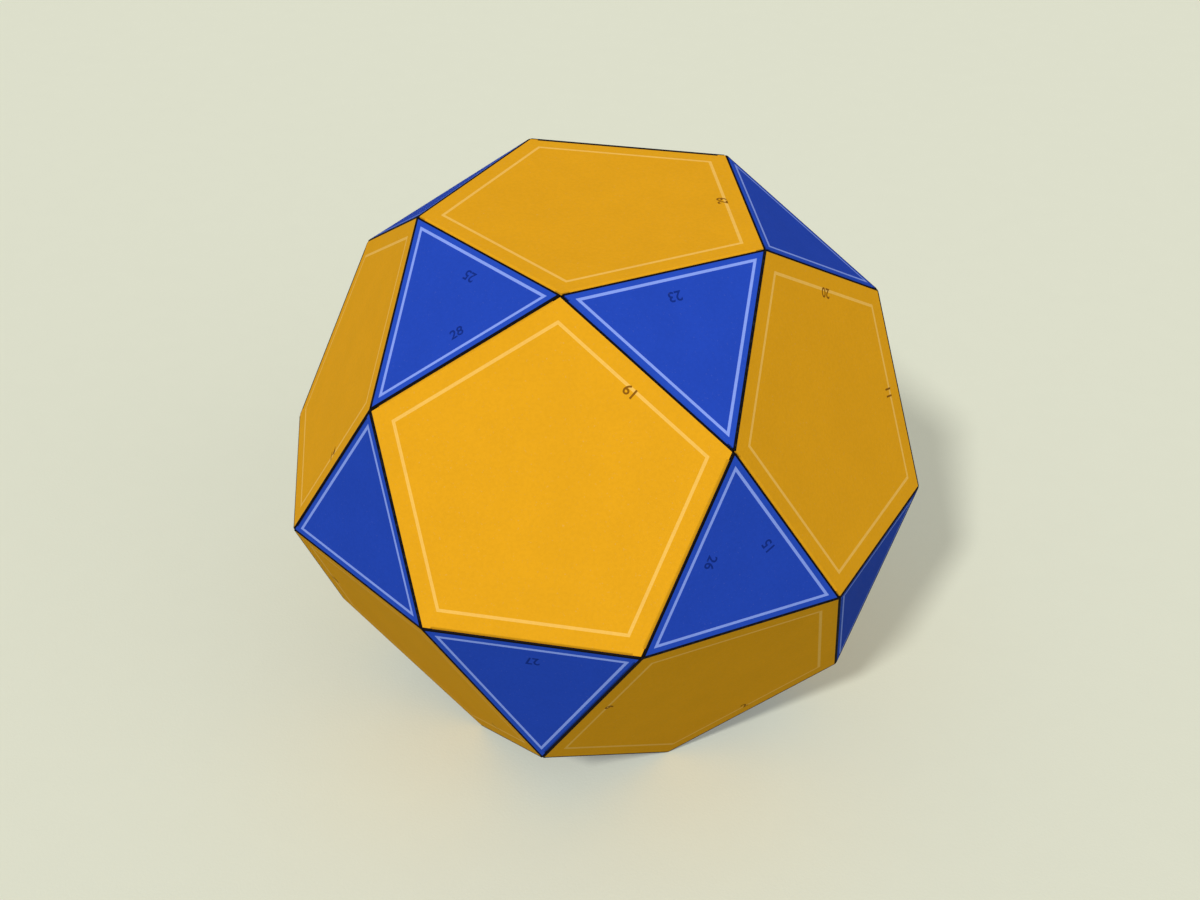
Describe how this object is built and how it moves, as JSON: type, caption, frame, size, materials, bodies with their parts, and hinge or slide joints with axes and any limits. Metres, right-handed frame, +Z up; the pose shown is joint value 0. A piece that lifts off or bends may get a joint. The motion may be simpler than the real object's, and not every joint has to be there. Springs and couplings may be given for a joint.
{
  "type": "paper icosidodecahedron",
  "caption": "Hollow paper solid of regular pentagons and triangles, folded from one printed card net and glued shut with tabs inside; it stands on a pentagon.",
  "frame": {"origin": "middle of the pentagon that the solid stands on, at the bottom centre of its box", "axes": "+Z up, along the line through the middles of the resting pentagon and the one opposite; -Y faces the large orange pentagon of the upper ring"},
  "size_m": [0.0776, 0.0738, 0.0661],
  "materials": {
    "card": "matte printed card, orange pentagons and blue triangles"
  },
  "bodies": {
    "root": {"folded_net": "card"}
  },
  "joints": []
}
